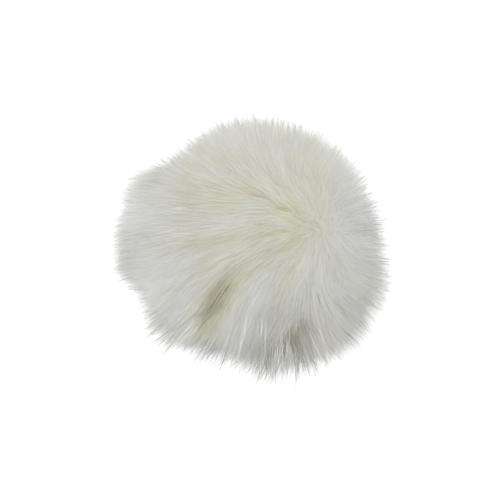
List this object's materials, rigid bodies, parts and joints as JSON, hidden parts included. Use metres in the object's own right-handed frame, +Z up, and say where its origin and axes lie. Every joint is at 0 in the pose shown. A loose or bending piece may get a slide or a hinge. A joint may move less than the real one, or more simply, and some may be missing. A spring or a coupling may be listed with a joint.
{
  "type": "pom pom",
  "caption": "Ball of long faux fur, its pile combed away from a crown near one side, with a small flat spot to rest on.",
  "frame": {"origin": "centre of the small flat spot that the ball rests on", "axes": "+Z up from the flat spot, +X to the right, -Y to the front; the show side looks out along -Y and 45 degrees up"},
  "size_m": [0.1328, 0.1251, 0.1054],
  "materials": {
    "ivory_pile": "ivory long-pile faux fur"
  },
  "bodies": {
    "root": {"fur_ball": "ivory_pile"}
  },
  "joints": []
}
